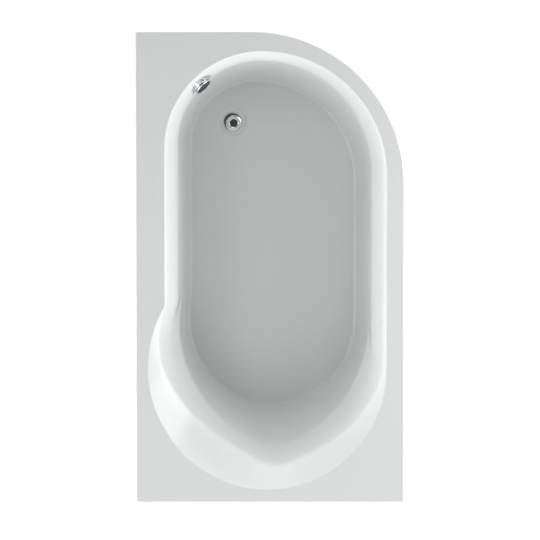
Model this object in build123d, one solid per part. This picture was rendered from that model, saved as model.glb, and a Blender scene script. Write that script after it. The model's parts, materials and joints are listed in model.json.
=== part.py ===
from build123d import *
import os
from math import atan2, cos, degrees, hypot, pi, radians, sin, sqrt, tan

# Single ended bath with an elbow scoop beside the backrest: acrylic shell, timber rim frame,
# base board, steel rails on levelling legs, and a rotary overflow that lifts the waste plug.
# +X points across the bath from the wall side to the open side, +Y to the drain end, +Z up.
# The origin is on the floor under the middle of the rim. Sizes are in millimetres.

os.makedirs("parts", exist_ok=True)

# Rim, seen from above
bath_length = 1700.0
bath_width = 970.0
open_corner = 550.0
tight_corner = 9.0
lip_drop = 40.0
lip_round = 6.0
shell_wall = 7.0

# Deck between the rim edge and the basin
deck_left = 105.5
deck_right = 63.4
deck_foot = 72.0
deck_head = 49.0
opening_round = 8.0

# Basin walls: each rolls out towards the rim by its flare and leans in by its draft
basin_depth = 428.0
flare_left = 38.0
flare_right = 42.0
flare_foot = 22.0
flare_head = 68.0
flare_depth_side = 95.0
flare_depth_foot = 65.0
flare_depth_head = 190.0
draft_left = 34.5
draft_right = 51.0
draft_foot = 52.0
draft_head = 195.0
apex_x_rim = -29.0
apex_x_floor = -56.0

# Elbow scoop: how far it stands out past the wall-side basin wall
scoop_reach_rim = 61.5
scoop_reach_floor = 6.0
scoop_depth = 170.0

# Head end arch: its sides are struck with more than its half width, its nose with less
shoulder_depth = 150.0
side_over_rim = 9.0
side_over_shoulder = 129.5
side_over_floor = 14.0
nose_under_rim = 16.0
nose_under_shoulder = 248.5
nose_under_floor = 21.0

# Basin floor: its fall is taken from the middle of the bath to the waste
floor_fall = 4.0
floor_round = 10.0

# Waste outlet in the floor
waste_x = -143.0
waste_from_foot = 306.0
waste_recess = 3.5
waste_hole_radius = 26.0
waste_dish_radius = 49.0

# Overflow in the rounded wall corner beside the drain
overflow_bearing = 134.0
overflow_depth = 52.0
overflow_tilt = 12.0
overflow_recess = 10.0
overflow_hole_radius = 26.0
overflow_seat_radius = 44.0
overflow_pocket_radius = 34.0

# Rim battens and base board
batten_width = 22.0
batten_height = 44.0
board_thick = 16.0
board_inset = 24.0
board_gap_radius = 72.0
board_slot_width = 110.0

# Steel rails and the centre bracket
steel = 2.5
rail_inset = 95.0
rail_width = 40.0
rail_height = 28.0
rail_x = 10.0
rail_from_head = 520.0
rail_from_foot = 455.0
rail_screw_inner = 90.0
rail_screw_outer = 210.0
leg_end_margin = 22.0
bracket_x = 8.0
bracket_drop = 34.0
bracket_web = 50.0
bracket_flange = 20.0
bracket_length = 40.0

# Levelling legs
stud_radius = 6.0
stud_slack = 0.05
stud_rise = 45.0
centre_stud_rise = 18.0
stud_foot = 8.0
pad_radius = 25.0
pad_height = 30.0
pad_neck_radius = 11.0
pad_edge = 6.0
pad_shoulder = 17.0
nut_flats = 19.0
jack_nut_height = 12.0
lock_nut_height = 8.0
nut_gap = 0.05
stud_hole_radius = 7.0

# Wood screws
screw_radius = 2.2
screw_head_radius = 4.6
screw_head = 2.6
screw_grip = 12.0
screw_slack = 0.05

# Wall brackets under the rim
wall_plate_width = 70.0
wall_plate_drop = 70.0
wall_hole_radius = 4.0
wall_hole_spacing = 40.0
wall_hole_rise = 22.0
wall_flange = 26.0
wall_bracket_from_head = 230.0
wall_bracket_from_foot = 370.0
end_bracket_x = -250.0

# Waste fitting
flange_radius = 34.5
flange_crest = 3.6
flange_throat = 1.3
flange_tube_radius = 25.5
flange_bore_radius = 24.2
plug_seat_drop = 8.0
plug_seat_radius = 20.5
flange_tube_drop = 30.0
seat_washer = 1.2
gasket = 3.0
gasket_radius = 40.0
plug_radius = 23.0
plug_crown = 5.2
plug_lift = 10.0
seal_gap = 0.3
stem_radius = 4.0
body_radius = 33.0
body_wall = 4.0
body_flange = 4.0
body_drop = 53.0
neck_radius = 24.0
neck_bore_radius = 20.0
neck_drop = 59.0

# Lifting rocker inside the waste body
rocker_arm = 22.0
rocker_drop = 40.0
rocker_tip_radius = 2.5
rocker_shaft_radius = 3.0
rocker_hub_radius = 6.0
rocker_width = 8.0

# Overflow pipe and lifting cable
pipe_radius = 16.0
pipe_wall = 2.0
socket_wall = 3.0
socket_slack = 0.1
pipe_inlet_drop = 34.0
pipe_inlet_reach = 62.0
pipe_bend = 36.0
cable_radius = 2.5
cable_offset = 24.5
cable_bend = 50.0
cable_seat = 30.0
gland_radius = 5.0
gland_drop = 12.0
spigot_drop = 26.0
clip_height = 10.0
clip_first_rise = 104.0
clip_last_drop = 133.0

# Trap under the waste
trap_radius = 47.0
trap_wall = 3.0
trap_shoulder_drop = 67.0
trap_height = 75.0
trap_lip = 2.4
trap_clearance = 12.5
dip_radius = 19.5
dip_wall = 2.0
dip_clearance = 6.0
trap_nut_radius = 33.0
outlet_radius = 20.0
outlet_wall = 1.8
outlet_drop = 88.5
outlet_spigot_reach = 72.0
outlet_length = 185.0
outlet_entry = 40.0
outlet_bead = 2.5
outlet_nut_radius = 27.0
outlet_nut_length = 28.0

# Overflow fitting, measured from its seat on the basin wall
plate_radius = 33.5
plate_height = 17.5
plate_skin = 2.5
web_drop = 5.0
web_thick = 4.5
slot_margin = 1.5
hub_radius = 9.0
knob_radius = 34.0
knob_height = 5.0
knob_groove = 2.5
knob_gap = 0.3
spindle_radius = 5.0
cup_radius = 31.0
cup_wall = 3.0
cup_back = 62.0
cup_axis = 38.0
cup_flange = 4.0
spider_drop = 24.0
spider_thick = 6.0
drum_radius = 17.0
drum_thick = 8.0
fixing_radius = 2.0
fixing_offset = 14.0
slot_count = 7

# Places that follow from the sizes. The rim stands over the trap, which keeps its own height.
waste_y = bath_length / 2 - waste_from_foot
waste_z = trap_clearance + trap_height + trap_shoulder_drop
rim_height = waste_z + waste_recess + floor_fall + basin_depth
fall_angle = atan2(floor_fall, waste_y)
rail_length = bath_width - 2 * rail_inset
head_rail_y = rail_from_head - bath_length / 2
foot_rail_y = bath_length / 2 - rail_from_foot
bracket_y = (head_rail_y + foot_rail_y) / 2


def save(node, shape):
    """Writes one sub-part, a solid or a group of separate solids."""
    solids = shape.solids()
    export_step(solids[0] if len(solids) == 1 else Compound(children=list(solids)), f"parts/{node}.step")


def floor_z(y):
    """Height of the basin floor, which falls towards the drain end."""
    return rim_height - basin_depth - y * tan(fall_angle)


def disc(radius, low, high):
    """Upright cylinder between two heights."""
    return Pos(0, 0, (low + high) / 2) * Cylinder(radius, high - low)


def ring(radius, bore, low, high):
    """Upright tube between two heights."""
    return disc(radius, low, high) - disc(bore, low, high)


def block(low, high):
    """Box between two corners."""
    size = [high[i] - low[i] for i in range(3)]
    middle = [(high[i] + low[i]) / 2 for i in range(3)]
    return Pos(*middle) * Box(*size)


def turned(*corners):
    """Solid of revolution about Z. Each corner is a radius, a height and, if given, a rounding."""
    points = [(corner[0], 0, corner[1]) for corner in corners]
    rounds = [corner[2] if len(corner) > 2 else 0 for corner in corners]
    return revolve(Face(Wire(FilletPolyline(*points, radius=rounds, close=True).edges())), Axis.Z)


def arc_between(centre, radius, start, end):
    """Clockwise arc about a centre from one point to another."""
    first = atan2(start[1] - centre[1], start[0] - centre[0])
    last = atan2(end[1] - centre[1], end[0] - centre[0])
    if last > first:
        last -= 2 * pi
    middle = (first + last) / 2
    return ThreePointArc(start, (centre[0] + radius * cos(middle), centre[1] + radius * sin(middle)), end)


# Basin plan at any depth

def wall_inset(depth, flare, flare_depth, draft):
    """How far a wall stands in from the rim opening at a depth: a rolled flare, then a straight draft."""
    left_to_go = max(0.0, 1 - depth / flare_depth)
    return flare * (1 - left_to_go ** 2.2) + draft * depth / basin_depth


def by_depth(depth, rim, shoulder, floor):
    """A value that runs from the rim over the shoulder of the backrest to the floor."""
    if depth < shoulder_depth:
        return rim + (shoulder - rim) * depth / shoulder_depth
    return shoulder + (floor - shoulder) * (depth - shoulder_depth) / (basin_depth - shoulder_depth)


def wall_lines(depth, grow=0.0):
    """Left, right, foot and head walls at a depth, moved out by grow."""
    left = -bath_width / 2 + deck_left + wall_inset(depth, flare_left, flare_depth_side, draft_left)
    right = bath_width / 2 - deck_right - wall_inset(depth, flare_right, flare_depth_side, draft_right)
    foot = bath_length / 2 - deck_foot - wall_inset(depth, flare_foot, flare_depth_foot, draft_foot)
    head = -bath_length / 2 + deck_head + wall_inset(depth, flare_head, flare_depth_head, draft_head)
    return left - grow, right + grow, foot + grow, head - grow


def foot_apex(depth):
    """Where the two corner arcs of the drain end meet."""
    return apex_x_rim + (apex_x_floor - apex_x_rim) * depth / basin_depth


def basin_outline(depth, grow=0.0):
    """Closed plan of the basin at a depth: two foot arcs, the arched head end and the scoop's crease."""
    left, right, foot, head = wall_lines(depth, grow)
    apex = foot_apex(depth)
    fade = max(0.0, 1 - depth / scoop_depth) ** 1.4
    scoop = left - scoop_reach_floor - (scoop_reach_rim - scoop_reach_floor) * fade
    half = (right - scoop) / 2 - grow
    middle = (right + scoop) / 2
    side_over = by_depth(depth, side_over_rim, side_over_shoulder, side_over_floor)
    nose_under = by_depth(depth, nose_under_rim, nose_under_shoulder, nose_under_floor)
    side_radius = half + side_over + grow
    nose_radius = half - nose_under + grow
    nose = (middle, head + nose_radius)
    spring = nose[1] + sqrt((side_over + nose_under) ** 2 - side_over ** 2)
    right_side = (right - side_radius, spring)
    left_side = (scoop + side_radius, spring)

    def on_nose(side):
        reach = hypot(nose[0] - side[0], nose[1] - side[1])
        return (nose[0] + nose_radius * (nose[0] - side[0]) / reach,
                nose[1] + nose_radius * (nose[1] - side[1]) / reach)

    crease = (left, spring + sqrt(side_radius ** 2 - (left_side[0] - left) ** 2))
    wall_end = (left, foot - (apex - left))
    top = (apex, foot)
    open_end = (right, foot - (right - apex))
    return [
        Line(crease, wall_end),
        arc_between((apex, wall_end[1]), apex - left, wall_end, top),
        arc_between((apex, open_end[1]), right - apex, top, open_end),
        Line(open_end, (right, spring)),
        arc_between(right_side, side_radius, (right, spring), on_nose(right_side)),
        arc_between(nose, nose_radius, on_nose(right_side), on_nose(left_side)),
        arc_between(left_side, side_radius, on_nose(left_side), crease),
    ]


def basin_section(depth, grow=0.0, drop=0.0):
    """Plan placed at its height; the planes tip gradually until the lowest has the floor's fall."""
    tip = fall_angle * depth / basin_depth
    level = Plane(origin=(0, 0, rim_height - depth - drop), x_dir=(1, 0, 0), z_dir=(0, sin(tip), cos(tip)))
    return level * Wire(basin_outline(depth, grow))


def basin_form(wall):
    """Loft of the basin: the hollow itself with no wall, or its outside with one."""
    sections = []
    if wall:
        sections.append(basin_section(0, 0.7 * wall, 0.7 * wall))
    else:
        edge = opening_round * tan(radians(22.5))
        sections.append(basin_section(0, edge))
        sections.append(basin_section(0.08 * opening_round, 0.32 * edge))
        sections.append(basin_section(0.29 * opening_round))
    for share in (0.035, 0.075, 0.125, 0.18, 0.25, 0.35, 0.45, 0.65, 0.84):
        depth = share * basin_depth
        slope = radians(45 - 35 * min(1, depth / shoulder_depth))
        sections.append(basin_section(depth, wall * cos(slope), wall * sin(slope)))
    for turn in (0, 30, 60, 90):
        slope = radians(turn)
        depth = basin_depth - floor_round * (1 - sin(slope))
        grow = wall * cos(slope) - floor_round * (1 - cos(slope))
        sections.append(basin_section(depth, grow, wall * sin(slope)))
    return Solid.make_loft(sections)


def rim_outline(grow):
    """Rim edge in plan: three tight corners and the wide open one."""
    x, y = bath_width / 2 + grow, bath_length / 2 + grow
    tight = max(0.0, tight_corner + grow)
    line = FilletPolyline((-x, -y), (x, -y), (x, y), (-x, y),
                          radius=[tight, tight, open_corner + grow, tight], close=True)
    return Face(Wire(line.edges()))


def rim_prism(grow, low, high):
    """Upright prism on the rim outline between two heights."""
    return extrude(Pos(0, 0, low) * rim_outline(grow), high - low, dir=(0, 0, 1))


# Frames of the waste and the overflow

waste = Pos(waste_x, waste_y, waste_z)

corner_left, _, corner_foot, _ = wall_lines(overflow_depth)
corner_x = foot_apex(overflow_depth)
corner_radius = corner_x - corner_left
corner_y = corner_foot - corner_radius
bearing = radians(overflow_bearing)
tilt = radians(overflow_tilt)
seat_reach = corner_radius + overflow_recess
overflow_plane = Plane(
    origin=(corner_x + seat_reach * cos(bearing), corner_y + seat_reach * sin(bearing),
            rim_height - overflow_depth),
    x_dir=(-sin(bearing), cos(bearing), 0),
    z_dir=(-cos(bearing) * cos(tilt), -sin(bearing) * cos(tilt), sin(tilt)))
overflow = overflow_plane.location
cup_centre = overflow_plane.origin - overflow_plane.z_dir * cup_axis

# The overflow pipe runs in the upright plane through the waste and the overflow cup
pipe_bearing = atan2(cup_centre.Y - waste_y, cup_centre.X - waste_x)
pipe_plan = waste * Rot(0, 0, degrees(pipe_bearing))
pipe_distance = hypot(cup_centre.X - waste_x, cup_centre.Y - waste_y)
cup_rise = cup_centre.Z - waste_z


# Acrylic shell

def pressed_seat(wall, low):
    """Room in front of the overflow seat, whose edge flares at 45 degrees, or its outside with a wall."""
    radius, high = overflow_seat_radius + wall * sqrt(2), 3 * overflow_recess
    return overflow * Pos(0, 0, (low + high) / 2) * Cone(radius + low, radius + high, high - low)


def tub_shell():
    deck = rim_prism(0, rim_height - lip_drop, rim_height)
    top_edges = deck.edges().filter_by_position(Axis.Z, rim_height - 0.01, rim_height + 0.01)
    deck = fillet(top_edges, lip_round)
    deck -= rim_prism(-shell_wall, rim_height - lip_drop, rim_height - shell_wall)
    shell = deck + basin_form(shell_wall)
    shell += waste * disc(waste_dish_radius + shell_wall, -shell_wall, waste_recess / 2)
    under_deck = block((-bath_width / 2, 0, 0), (0, bath_length / 2, rim_height - shell_wall / 2))
    shell += pressed_seat(shell_wall, -shell_wall) & under_deck
    shell -= basin_form(0)
    shell -= pressed_seat(0, 0)
    dish_rise = waste_recess + 2
    dish = Cone(waste_dish_radius, waste_dish_radius + dish_rise, dish_rise)
    shell -= waste * Pos(0, 0, dish_rise / 2) * dish
    shell -= waste * disc(waste_hole_radius, -2 * shell_wall, shell_wall)
    shell -= overflow * disc(overflow_hole_radius, -cup_back, shell_wall)
    shell -= overflow * disc(overflow_pocket_radius, -cup_back, -shell_wall)
    return shell


# Timber

def rim_battens():
    top = rim_height - shell_wall
    low = top - batten_height
    frame = rim_prism(-shell_wall, low, top) - rim_prism(-shell_wall - batten_width, low, top)
    for place in wall_places():
        for side in (-1, 1):
            frame -= place * Pos(*bracket_screw_place(side)) * disc(screw_radius + screw_slack, -1, screw_grip)
    x, y = bath_width / 2, bath_length / 2
    inner_x, inner_y = x - shell_wall - batten_width, y - shell_wall - batten_width
    bend_x, bend_y = x - open_corner, y - open_corner
    save("wall_batten", frame & block((-x, -y, low), (-inner_x, y, top)))
    save("foot_batten", frame & block((-inner_x, inner_y, low), (bend_x, y, top)))
    save("head_batten", frame & block((-inner_x, -y, low), (inner_x, -inner_y, top)))
    save("front_batten", frame & block((inner_x, -y, low), (x, bend_y, top)))
    save("corner_batten", frame & block((bend_x, bend_y, low), (x, y, top)))


def board_z(y):
    """Height of the base board's underside."""
    return floor_z(y) - (shell_wall + board_thick) / cos(fall_angle)


def rail_top(y):
    """A rail is level and meets the board along its lower edge."""
    return board_z(y + rail_width / 2)


def rail_screws(y):
    """Plan places of the screws that hold a rail."""
    return [(rail_x + side * step, y) for side in (-1, 1) for step in (rail_screw_inner, rail_screw_outer)]


def bracket_top():
    return board_z(bracket_y + bracket_length / 2)


def bracket_screws():
    step = (bracket_web + bracket_flange) / 2
    return [(bracket_x + side * step, bracket_y + end * bracket_length / 4)
            for side in (-1, 1) for end in (-1, 1)]


def wood_screw(x, y, seat, grip):
    """Flat head screw driven upwards; its head bears against the seat height."""
    head = disc(screw_head_radius, seat - screw_head, seat)
    return Pos(x, y, 0) * (head + disc(screw_radius, seat, seat + grip - 1))


def base_board():
    top = basin_section(basin_depth, -board_inset, shell_wall)
    board = extrude(Face(top), board_thick, dir=(0, -sin(fall_angle), -cos(fall_angle)))
    tall = 4 * board_thick
    board -= waste * disc(board_gap_radius, -tall, tall)
    slot = Pos(pipe_distance / 2, 0, 0) * Box(pipe_distance, board_slot_width, 2 * tall)
    board -= pipe_plan * slot
    holes = rail_screws(head_rail_y) + rail_screws(foot_rail_y) + bracket_screws()
    for x, y in holes:
        low = board_z(y)
        board -= Pos(x, y, 0) * disc(screw_radius + screw_slack, low - 1, low + screw_grip)
    return board


# Steel rails, bracket and legs

def rail(y):
    top = rail_top(y)
    half_x, half_y = rail_length / 2, rail_width / 2
    bar = block((rail_x - half_x, y - half_y, top - rail_height), (rail_x + half_x, y + half_y, top))
    bar -= block((rail_x - half_x, y - half_y + steel, top - rail_height),
                 (rail_x + half_x, y + half_y - steel, top - steel))
    for x, screw_y in rail_screws(y):
        bar -= Pos(x, screw_y, 0) * disc(screw_radius + screw_slack, top - rail_height, top)
    for x, leg_y in leg_places(y):
        bar -= Pos(x, leg_y, 0) * disc(stud_hole_radius, top - rail_height, top)
    return bar


def leg_places(y):
    reach = rail_length / 2 - leg_end_margin
    return [(rail_x - reach, y), (rail_x + reach, y)]


def centre_bracket():
    top = bracket_top()
    web, flange, drop = bracket_web / 2, bracket_web / 2 + bracket_flange, bracket_drop
    half = [(web - steel, 0), (flange, 0), (flange, -steel), (web, -steel), (web, -drop)]
    outline = half + [(-x, z) for x, z in reversed(half)]
    inner = [(-web + steel, -drop + steel), (web - steel, -drop + steel)]
    points = [(bracket_x + x, bracket_y, top + z) for x, z in outline + inner]
    hat = extrude(Face(Wire(Polyline(*points, close=True).edges())), bracket_length / 2,
                  dir=(0, 1, 0), both=True)
    for x, y in bracket_screws():
        hat -= Pos(x, y, 0) * disc(screw_radius + screw_slack, top - drop, top)
    return hat - Pos(bracket_x, bracket_y, 0) * disc(stud_hole_radius, top - drop, top - drop + steel)


def hex_nut(low, high):
    """Hexagon nut between two heights."""
    body = extrude(Pos(0, 0, low) * RegularPolygon(nut_flats / 2, 6, major_radius=False), high - low)
    return body - disc(stud_radius, low, high)


def leg(number, x, y, web_top, rise):
    """One levelling leg: pad and stud move together, the nuts turn against the web."""
    neck = pad_neck_radius
    pad = turned((0, 0), (pad_radius, 0), (pad_radius, pad_edge), (neck, pad_shoulder),
                 (neck, pad_height), (stud_radius, pad_height), (stud_radius, stud_foot), (0, stud_foot))
    place = Pos(x, y, 0)
    jack_high, lock_low = web_top - steel - nut_gap, web_top + nut_gap
    save(f"foot_pad_{number}", place * pad)
    save(f"leg_stud_{number}", place * disc(stud_radius - stud_slack, stud_foot, web_top + rise))
    save(f"jack_nut_{number}", place * hex_nut(jack_high - jack_nut_height, jack_high))
    save(f"lock_nut_{number}", place * hex_nut(lock_low, lock_low + lock_nut_height))


def cradle():
    save("head_rail", rail(head_rail_y))
    save("foot_rail", rail(foot_rail_y))
    save("centre_bracket", centre_bracket())
    number = 1
    for y in (head_rail_y, foot_rail_y):
        for x, leg_y in leg_places(y):
            leg(number, x, leg_y, rail_top(y), stud_rise)
            number += 1
    leg(number, bracket_x, bracket_y, bracket_top() - bracket_drop + steel, centre_stud_rise)
    screws = [wood_screw(x, y, rail_top(y) - steel, screw_grip)
              for row in (head_rail_y, foot_rail_y) for x, y in rail_screws(row)]
    screws += [wood_screw(x, y, bracket_top() - steel, screw_grip) for x, y in bracket_screws()]
    save("board_screws", Compound(children=screws))


# Brackets that fix the rim to the room's walls

def wall_bracket():
    """Bracket against a wall at X 0, with its flange under the batten at height 0."""
    half = wall_plate_width / 2
    plate = block((0, -half, -wall_plate_drop), (steel, half, 0))
    plate = chamfer(plate.edges().filter_by(Axis.X).group_by(Axis.Z)[0], 8)
    plate += block((0, -half, -steel), (wall_flange, half, 0))
    for side in (-1, 1):
        low = wall_hole_rise - wall_plate_drop
        hole = Cylinder(wall_hole_radius, 4 * steel, rotation=(0, 90, 0))
        plate -= Pos(steel / 2, side * wall_hole_spacing / 2, low) * hole
        x, y = bracket_screw_place(side)
        plate -= Pos(x, y, 0) * disc(screw_radius + screw_slack, -2 * steel, steel)
    return plate


def bracket_screw_place(side):
    return shell_wall + batten_width / 2, side * wall_plate_width / 4


def wall_places():
    """Two brackets on the long wall side and one at each end."""
    z = rim_height - shell_wall - batten_height
    x, y = bath_width / 2, bath_length / 2
    return [Pos(-x, wall_bracket_from_head - y, z), Pos(-x, y - wall_bracket_from_foot, z),
            Pos(end_bracket_x, y, z) * Rot(0, 0, -90), Pos(end_bracket_x, -y, z) * Rot(0, 0, 90)]


def wall_brackets():
    places = wall_places()
    save("wall_brackets", Compound(children=[place * wall_bracket() for place in places]))
    screws = []
    for place in places:
        for side in (-1, 1):
            sx, sy = bracket_screw_place(side)
            screws.append(place * wood_screw(sx, sy, -steel, screw_grip))
    save("wall_bracket_screws", Compound(children=screws))


# Waste fitting, measured from its seat in the floor

def waste_flange():
    bore, seat = flange_bore_radius, plug_seat_radius
    flange = turned((flange_tube_radius, seat_washer), (flange_radius, seat_washer),
                    (flange_radius, flange_crest - 1), (flange_radius - 0.7, flange_crest),
                    (bore + 0.8, flange_throat), (bore, flange_throat - 0.8),
                    (bore, -plug_seat_drop), (seat, -plug_seat_drop),
                    (seat, -flange_tube_drop), (flange_tube_radius, -flange_tube_drop))
    spoke_low, spoke_high = -flange_tube_drop, -flange_tube_drop + 6
    for turn in (0, 120, 240):
        flange += Rot(0, 0, turn) * block((stem_radius + 1, -1.5, spoke_low), (seat + 1, 1.5, spoke_high))
    flange += disc(stem_radius + 3, spoke_low, spoke_high)
    return flange - disc(stem_radius + stud_slack, spoke_low, spoke_high)


def plug_cap():
    under, edge = -plug_seat_drop / 2, 0.8
    rise = plug_crown - edge
    crown_radius = (plug_radius ** 2 + rise ** 2) / (2 * rise)
    cap = turned((0, under), (plug_radius - 4, under), (plug_radius, under / 2), (plug_radius, plug_crown),
                 (0, plug_crown))
    return cap & Pos(0, 0, plug_crown - crown_radius) * Sphere(crown_radius)


def rocker_rest():
    """Angle of the rocker below level at rest, so that it ends as far above it."""
    return degrees(atan2(plug_lift / 2, sqrt(rocker_arm ** 2 - (plug_lift / 2) ** 2)))


def stem_tip():
    """Lower end of the plug stem, just over the rocker's tip."""
    return -rocker_drop - plug_lift / 2 + rocker_tip_radius + seal_gap


def plug_parts():
    under = -plug_seat_drop / 2
    low = -plug_seat_drop + seal_gap
    collar = plug_seat_radius / 2
    save("plug_cap", waste * plug_cap())
    save("plug_seal", waste * turned((collar, under), (plug_radius - 4.5, under), (plug_radius, low + 1.2),
                                     (plug_radius - 0.8, low), (collar, low)))
    tip = stem_tip()
    save("plug_stem", waste * turned((0, under), (collar, under), (collar, low), (stem_radius, low),
                                     (stem_radius, tip + 1), (stem_radius - 1, tip), (0, tip)))


def rocker_axis(length):
    """Cylinder direction of the rocker shaft: level and square to the overflow pipe."""
    return pipe_plan * Pos(-rocker_arm, 0, -rocker_drop) * Rot(90, 0, 0) * length


def waste_body():
    drop, bore = body_drop, body_radius - body_wall
    low_socket, tube = pipe_inlet_drop, flange_tube_radius + socket_slack
    body = disc(gasket_radius + 1, -shell_wall - gasket - body_flange, -shell_wall - gasket)
    body += disc(body_radius, -drop, -shell_wall - gasket - body_flange)
    body += disc(neck_radius, -neck_drop, -drop)
    inlet = Rot(0, 90, 0) * disc(pipe_radius + socket_wall, 0, pipe_inlet_reach)
    body += Pos(0, 0, -low_socket) * inlet
    gland = Rot(0, 90, 0) * disc(gland_radius, 8, pipe_inlet_reach - 12)
    body += Pos(0, cable_offset, -low_socket) * gland
    lug = Rot(90, 0, 0) * Cylinder(rocker_hub_radius, 2 * body_radius - 12)
    body += Pos(-rocker_arm, 0, -rocker_drop) * lug
    body -= disc(tube, -flange_tube_drop - 1, 0)
    body -= disc(bore, -drop + body_wall, -flange_tube_drop - 1)
    body -= disc(neck_bore_radius, -neck_drop, -drop + body_wall)
    body -= Pos(0, 0, -low_socket) * Rot(0, 90, 0) * disc(pipe_radius - socket_wall, bore - 4, pipe_inlet_reach)
    body -= Pos(0, 0, -low_socket) * Rot(0, 90, 0) * disc(pipe_radius + socket_slack, pipe_start(), pipe_inlet_reach)
    body -= Pos(0, cable_offset, -low_socket) * Rot(0, 90, 0) * disc(cable_radius + 0.1, cable_end(), pipe_inlet_reach)
    shaft_hole = Rot(90, 0, 0) * Cylinder(rocker_shaft_radius + stud_slack, shaft_length() + 1)
    body -= Pos(-rocker_arm, 0, -rocker_drop) * shaft_hole
    return pipe_plan * body


def shaft_length():
    """Rocker shaft from wall to wall of the waste body, ending inside its lugs."""
    return 2 * sqrt(body_radius ** 2 - rocker_arm ** 2) - 2


def pipe_start():
    """Where the overflow pipe bottoms in its socket, out from the waste axis."""
    return body_radius + 7


def cable_end():
    """Where the cable sheath stops in its gland, out from the waste axis."""
    return pipe_inlet_reach - cable_seat


def rocker():
    shaft = Cylinder(rocker_shaft_radius, shaft_length())
    arm_angle = -rocker_rest()
    hub = Cylinder(rocker_hub_radius, rocker_width) + Pos(rocker_arm / 2, 0, 0) * Box(rocker_arm, 4, rocker_width)
    hub += Pos(rocker_arm, 0, 0) * Cylinder(rocker_tip_radius, rocker_width)
    hub -= Cylinder(rocker_shaft_radius + 0.02, rocker_width)
    save("rocker_shaft", rocker_axis(shaft))
    save("rocker_arm", rocker_axis(Rot(0, 0, arm_angle) * hub))


def waste_fitting():
    save("waste_flange", waste * waste_flange())
    save("waste_seat_washer", waste * ring(flange_radius - 2, waste_hole_radius, 0, seat_washer))
    save("waste_gasket", waste * ring(gasket_radius, waste_hole_radius, -shell_wall - gasket, -shell_wall))
    save("waste_body", waste_body())
    plug_parts()
    rocker()


# Trap and outlet

def trap():
    neck = -neck_drop
    shoulder = -trap_shoulder_drop
    floor = shoulder - trap_height
    collar, throat = neck_radius + trap_wall, neck_radius - trap_wall
    lip = collar + trap_lip
    axis_z = -outlet_drop
    cup = turned((neck_radius, neck), (lip, neck), (lip, neck - trap_lip), (collar, neck - trap_lip),
                 (collar, shoulder), (trap_radius - 4, shoulder), (trap_radius, shoulder - 4),
                 (trap_radius, floor + 6), (trap_radius - 6, floor), (0, floor), (0, floor + trap_wall),
                 (trap_radius - trap_wall - 4, floor + trap_wall), (trap_radius - trap_wall, floor + 7),
                 (trap_radius - trap_wall, shoulder - 5), (trap_radius - trap_wall - 2, shoulder - trap_wall),
                 (throat, shoulder - trap_wall),
                 (throat, neck - trap_lip), (neck_radius, neck - trap_lip))
    spigot = Rot(0, -90, 0) * disc(outlet_radius, trap_radius - trap_wall, outlet_spigot_reach)
    bore = Rot(0, -90, 0) * disc(outlet_radius - outlet_wall, trap_radius - 3 * trap_wall, outlet_spigot_reach)
    cup += Pos(0, 0, axis_z) * spigot - disc(trap_radius - trap_wall, floor, shoulder)
    cup -= Pos(0, 0, axis_z) * bore
    save("trap_body", waste * cup)
    dip_low = floor + trap_wall + dip_clearance
    dip = ring(dip_radius, dip_radius - dip_wall, dip_low, neck)
    dip += ring(neck_radius - socket_slack, dip_radius - dip_wall, neck - trap_lip, neck)
    save("trap_dip_tube", waste * dip)
    nut_high, nut_low = -body_drop - 0.5, shoulder + 1
    nut = turned((neck_radius + socket_slack, nut_high), (trap_nut_radius, nut_high),
                 (trap_nut_radius, nut_low), (collar + socket_slack, nut_low),
                 (collar + socket_slack, neck - trap_lip), (lip + socket_slack, neck - trap_lip),
                 (lip + socket_slack, neck), (neck_radius + socket_slack, neck))
    for turn in range(0, 360, 45):
        nut += Rot(0, 0, turn) * block((trap_nut_radius - 1, -2.5, nut_low + 1),
                                       (trap_nut_radius + 2, 2.5, nut_high - 1))
    save("trap_nut", waste * nut)
    sleeve = Pos(0, 0, axis_z) * Rot(0, -90, 0)
    start, end = outlet_spigot_reach, outlet_spigot_reach + outlet_length
    stop = end - outlet_entry
    pipe = ring(outlet_radius, outlet_radius - outlet_wall, start, end)
    pipe += ring(outlet_radius + outlet_bead, outlet_radius - outlet_wall, stop - outlet_bead, stop)
    save("outlet_pipe", waste * sleeve * pipe)
    half = outlet_nut_length / 2
    middle = outlet_spigot_reach
    collar_nut = ring(outlet_nut_radius, outlet_radius + socket_slack, middle - half, middle + half)
    for turn in range(0, 360, 45):
        collar_nut += Rot(0, 0, turn) * block((outlet_nut_radius - 1, -2.5, middle - half + 2),
                                              (outlet_nut_radius + 1.5, 2.5, middle + half - 2))
    save("outlet_nut", waste * sleeve * collar_nut)


# Overflow fitting

def web_front():
    """Height of the web that stands back inside the open front of the base and bears the dial."""
    return plate_height - web_drop


def overflow_plate():
    front, back, inside = web_front(), web_front() - web_thick, plate_radius - plate_skin
    plate = turned((inside, 0), (plate_radius, 0), (plate_radius, plate_height - 0.8),
                   (plate_radius - 0.8, plate_height), (inside, plate_height), (inside, front),
                   (spindle_radius + stud_slack, front), (spindle_radius + stud_slack, 4),
                   (hub_radius, 4), (hub_radius, back), (inside, back))
    for index in range(slot_count):
        turn = -90 + (index - (slot_count - 1) / 2) * 22
        slot = block((plate_radius - 2 * plate_skin, -3.5, slot_margin),
                     (plate_radius + 1, 3.5, back - slot_margin / 2))
        plate -= Rot(0, 0, turn) * slot
    for side in (-1, 1):
        plate -= Pos(side * fixing_offset, 0, 0) * disc(fixing_radius + 0.1, 0, front)
        plate -= Pos(side * fixing_offset, 0, 0) * disc(2.2 * fixing_radius, front - 2.5, front)
    return plate


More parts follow.
